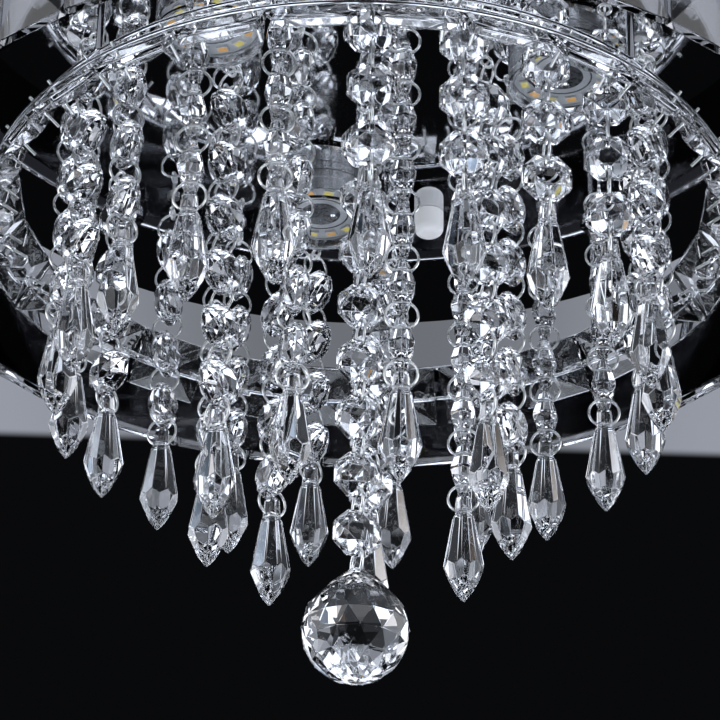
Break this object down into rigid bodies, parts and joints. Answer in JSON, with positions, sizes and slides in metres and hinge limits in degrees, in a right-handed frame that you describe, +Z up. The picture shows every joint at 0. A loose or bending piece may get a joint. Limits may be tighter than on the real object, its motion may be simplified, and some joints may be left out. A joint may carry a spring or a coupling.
{
  "type": "flush mount ceiling light",
  "caption": "Flush mount ceiling light with a mirror base pan, two rings of bevelled glass blocks, LED spots and tiers of swinging cut-crystal strands that end in drops and a ball.",
  "frame": {"origin": "on the ceiling plane, on the lamp's axis, at the middle of the ceiling bracket's upper face", "axes": "+Z up into the ceiling along the lamp's axis, -Y towards the viewer of the picture, +X to the viewer's right"},
  "size_m": [0.293, 0.293, 0.2237],
  "materials": {
    "mirror_steel": "mirror-polished stainless steel",
    "chrome_trim": "bright chrome plating",
    "zinc_steel": "zinc-plated sheet steel",
    "crystal": "clear cut crystal",
    "clear_lens": "clear moulded acrylic",
    "white_plastic": "glossy white",
    "driver_case": "fine-grained white",
    "terminal_plastic": "natural nylon",
    "led_board": "white solder mask",
    "phosphor_cool": "yellow phosphor",
    "phosphor_warm": "orange phosphor"
  },
  "bodies": {
    "fixture": {"base_pan": "mirror_steel", "mounting_bracket": "zinc_steel", "fixing_studs": "zinc_steel", "stud_caps": "white_plastic", "led_driver": "driver_case", "terminal_block": "terminal_plastic", "led_housings": "chrome_trim", "led_boards": "led_board", "led_chips_cool": "phosphor_cool", "led_chips_warm": "phosphor_warm", "led_lenses": "clear_lens", "inner_ring_frame": "chrome_trim", "inner_ring_crystals": "crystal", "inner_ring_pins": "chrome_trim", "outer_ring_band": "mirror_steel", "outer_ring_crystals": "crystal", "outer_ring_posts": "chrome_trim", "strand_hooks": "chrome_trim"},
    "outer_strand_01": {"outer_strand_01": "crystal"},
    "outer_strand_02": {"outer_strand_02": "crystal"},
    "outer_strand_03": {"outer_strand_03": "crystal"},
    "outer_strand_04": {"outer_strand_04": "crystal"},
    "outer_strand_05": {"outer_strand_05": "crystal"},
    "outer_strand_06": {"outer_strand_06": "crystal"},
    "outer_strand_07": {"outer_strand_07": "crystal"},
    "outer_strand_08": {"outer_strand_08": "crystal"},
    "outer_strand_09": {"outer_strand_09": "crystal"},
    "outer_strand_10": {"outer_strand_10": "crystal"},
    "outer_strand_11": {"outer_strand_11": "crystal"},
    "outer_strand_12": {"outer_strand_12": "crystal"},
    "outer_strand_13": {"outer_strand_13": "crystal"},
    "outer_strand_14": {"outer_strand_14": "crystal"},
    "outer_strand_15": {"outer_strand_15": "crystal"},
    "outer_strand_16": {"outer_strand_16": "crystal"},
    "outer_strand_17": {"outer_strand_17": "crystal"},
    "outer_strand_18": {"outer_strand_18": "crystal"},
    "outer_strand_19": {"outer_strand_19": "crystal"},
    "outer_strand_20": {"outer_strand_20": "crystal"},
    "outer_strand_21": {"outer_strand_21": "crystal"},
    "middle_strand_01": {"middle_strand_01": "crystal"},
    "middle_strand_02": {"middle_strand_02": "crystal"},
    "middle_strand_03": {"middle_strand_03": "crystal"},
    "middle_strand_04": {"middle_strand_04": "crystal"},
    "middle_strand_05": {"middle_strand_05": "crystal"},
    "middle_strand_06": {"middle_strand_06": "crystal"},
    "middle_strand_07": {"middle_strand_07": "crystal"},
    "middle_strand_08": {"middle_strand_08": "crystal"},
    "middle_strand_09": {"middle_strand_09": "crystal"},
    "centre_strand": {"centre_strand": "crystal", "crystal_ball": "crystal"}
  },
  "joints": [
    {"name": "outer_strand_01_swing", "type": "hinge", "parent": "fixture", "child": "outer_strand_01", "pos_m": [0.002, -0.08798, -0.03216], "axis": [0.0227, -0.9997, 0], "range_deg": [-5, 5]},
    {"name": "outer_strand_02_swing", "type": "hinge", "parent": "fixture", "child": "outer_strand_02", "pos_m": [0.02784, -0.08348, -0.03216], "axis": [0.3164, -0.9486, 0], "range_deg": [-5, 5]},
    {"name": "outer_strand_03_swing", "type": "hinge", "parent": "fixture", "child": "outer_strand_03", "pos_m": [0.05121, -0.07157, -0.03216], "axis": [0.5819, -0.8132, 0], "range_deg": [-5, 5]},
    {"name": "outer_strand_04_swing", "type": "hinge", "parent": "fixture", "child": "outer_strand_04", "pos_m": [0.07003, -0.05329, -0.03216], "axis": [0.7958, -0.6056, 0], "range_deg": [-5, 5]},
    {"name": "outer_strand_05_swing", "type": "hinge", "parent": "fixture", "child": "outer_strand_05", "pos_m": [0.08263, -0.03028, -0.03216], "axis": [0.9389, -0.3441, 0], "range_deg": [-5, 5]},
    {"name": "outer_strand_06_swing", "type": "hinge", "parent": "fixture", "child": "outer_strand_06", "pos_m": [0.08788, -0.00458, -0.03216], "axis": [0.9986, -0.0521, 0], "range_deg": [-5, 5]},
    {"name": "outer_strand_07_swing", "type": "hinge", "parent": "fixture", "child": "outer_strand_07", "pos_m": [0.08533, 0.02152, -0.03216], "axis": [0.9696, 0.2446, 0], "range_deg": [-5, 5]},
    {"name": "outer_strand_08_swing", "type": "hinge", "parent": "fixture", "child": "outer_strand_08", "pos_m": [0.07519, 0.04572, -0.03216], "axis": [0.8545, 0.5195, 0], "range_deg": [-5, 5]},
    {"name": "outer_strand_09_swing", "type": "hinge", "parent": "fixture", "child": "outer_strand_09", "pos_m": [0.05838, 0.06585, -0.03216], "axis": [0.6634, 0.7483, 0], "range_deg": [-5, 5]},
    {"name": "outer_strand_10_swing", "type": "hinge", "parent": "fixture", "child": "outer_strand_10", "pos_m": [0.03637, 0.08013, -0.03216], "axis": [0.4133, 0.9106, 0], "range_deg": [-5, 5]},
    {"name": "outer_strand_11_swing", "type": "hinge", "parent": "fixture", "child": "outer_strand_11", "pos_m": [0.01114, 0.08729, -0.03216], "axis": [0.1266, 0.992, 0], "range_deg": [-5, 5]},
    {"name": "outer_strand_12_swing", "type": "hinge", "parent": "fixture", "child": "outer_strand_12", "pos_m": [-0.01509, 0.0867, -0.03216], "axis": [-0.1714, 0.9852, 0], "range_deg": [-5, 5]},
    {"name": "outer_strand_13_swing", "type": "hinge", "parent": "fixture", "child": "outer_strand_13", "pos_m": [-0.03997, 0.0784, -0.03216], "axis": [-0.4542, 0.8909, 0], "range_deg": [-5, 5]},
    {"name": "outer_strand_14_swing", "type": "hinge", "parent": "fixture", "child": "outer_strand_14", "pos_m": [-0.0613, 0.06313, -0.03216], "axis": [-0.6966, 0.7174, 0], "range_deg": [-5, 5]},
    {"name": "outer_strand_15_swing", "type": "hinge", "parent": "fixture", "child": "outer_strand_15", "pos_m": [-0.07719, 0.04226, -0.03216], "axis": [-0.8771, 0.4802, 0], "range_deg": [-5, 5]},
    {"name": "outer_strand_16_swing", "type": "hinge", "parent": "fixture", "child": "outer_strand_16", "pos_m": [-0.08622, 0.01763, -0.03216], "axis": [-0.9797, 0.2003, 0], "range_deg": [-5, 5]},
    {"name": "outer_strand_17_swing", "type": "hinge", "parent": "fixture", "child": "outer_strand_17", "pos_m": [-0.08758, -0.00856, -0.03216], "axis": [-0.9953, -0.0973, 0], "range_deg": [-5, 5]},
    {"name": "outer_strand_18_swing", "type": "hinge", "parent": "fixture", "child": "outer_strand_18", "pos_m": [-0.08117, -0.034, -0.03216], "axis": [-0.9223, -0.3864, 0], "range_deg": [-5, 5]},
    {"name": "outer_strand_19_swing", "type": "hinge", "parent": "fixture", "child": "outer_strand_19", "pos_m": [-0.06754, -0.05641, -0.03216], "axis": [-0.7675, -0.6411, 0], "range_deg": [-5, 5]},
    {"name": "outer_strand_20_swing", "type": "hinge", "parent": "fixture", "child": "outer_strand_20", "pos_m": [-0.04791, -0.07382, -0.03216], "axis": [-0.5444, -0.8388, 0], "range_deg": [-5, 5]},
    {"name": "outer_strand_21_swing", "type": "hinge", "parent": "fixture", "child": "outer_strand_21", "pos_m": [-0.02402, -0.08466, -0.03216], "axis": [-0.273, -0.962, 0], "range_deg": [-5, 5]},
    {"name": "middle_strand_01_swing", "type": "hinge", "parent": "fixture", "child": "middle_strand_01", "pos_m": [0.01154, -0.04308, -0.03238], "axis": [0.2588, -0.9659, 0], "range_deg": [-5, 5]},
    {"name": "middle_strand_02_swing", "type": "hinge", "parent": "fixture", "child": "middle_strand_02", "pos_m": [0.03653, -0.02558, -0.03238], "axis": [0.8192, -0.5736, 0], "range_deg": [-5, 5]},
    {"name": "middle_strand_03_swing", "type": "hinge", "parent": "fixture", "child": "middle_strand_03", "pos_m": [0.04443, 0.00389, -0.03238], "axis": [0.9962, 0.0872, 0], "range_deg": [-5, 5]},
    {"name": "middle_strand_04_swing", "type": "hinge", "parent": "fixture", "child": "middle_strand_04", "pos_m": [0.03154, 0.03154, -0.03238], "axis": [0.7071, 0.7071, 0], "range_deg": [-5, 5]},
    {"name": "middle_strand_05_swing", "type": "hinge", "parent": "fixture", "child": "middle_strand_05", "pos_m": [0.00389, 0.04443, -0.03238], "axis": [0.0872, 0.9962, 0], "range_deg": [-5, 5]},
    {"name": "middle_strand_06_swing", "type": "hinge", "parent": "fixture", "child": "middle_strand_06", "pos_m": [-0.02558, 0.03653, -0.03238], "axis": [-0.5736, 0.8192, 0], "range_deg": [-5, 5]},
    {"name": "middle_strand_07_swing", "type": "hinge", "parent": "fixture", "child": "middle_strand_07", "pos_m": [-0.04308, 0.01154, -0.03238], "axis": [-0.9659, 0.2588, 0], "range_deg": [-5, 5]},
    {"name": "middle_strand_08_swing", "type": "hinge", "parent": "fixture", "child": "middle_strand_08", "pos_m": [-0.04042, -0.01885, -0.03238], "axis": [-0.9063, -0.4226, 0], "range_deg": [-5, 5]},
    {"name": "middle_strand_09_swing", "type": "hinge", "parent": "fixture", "child": "middle_strand_09", "pos_m": [-0.01885, -0.04042, -0.03238], "axis": [-0.4226, -0.9063, 0], "range_deg": [-5, 5]},
    {"name": "centre_strand_swing", "type": "hinge", "parent": "fixture", "child": "centre_strand", "pos_m": [0, 0, -0.03245], "axis": [0, -1, 0], "range_deg": [-5, 5]}
  ]
}
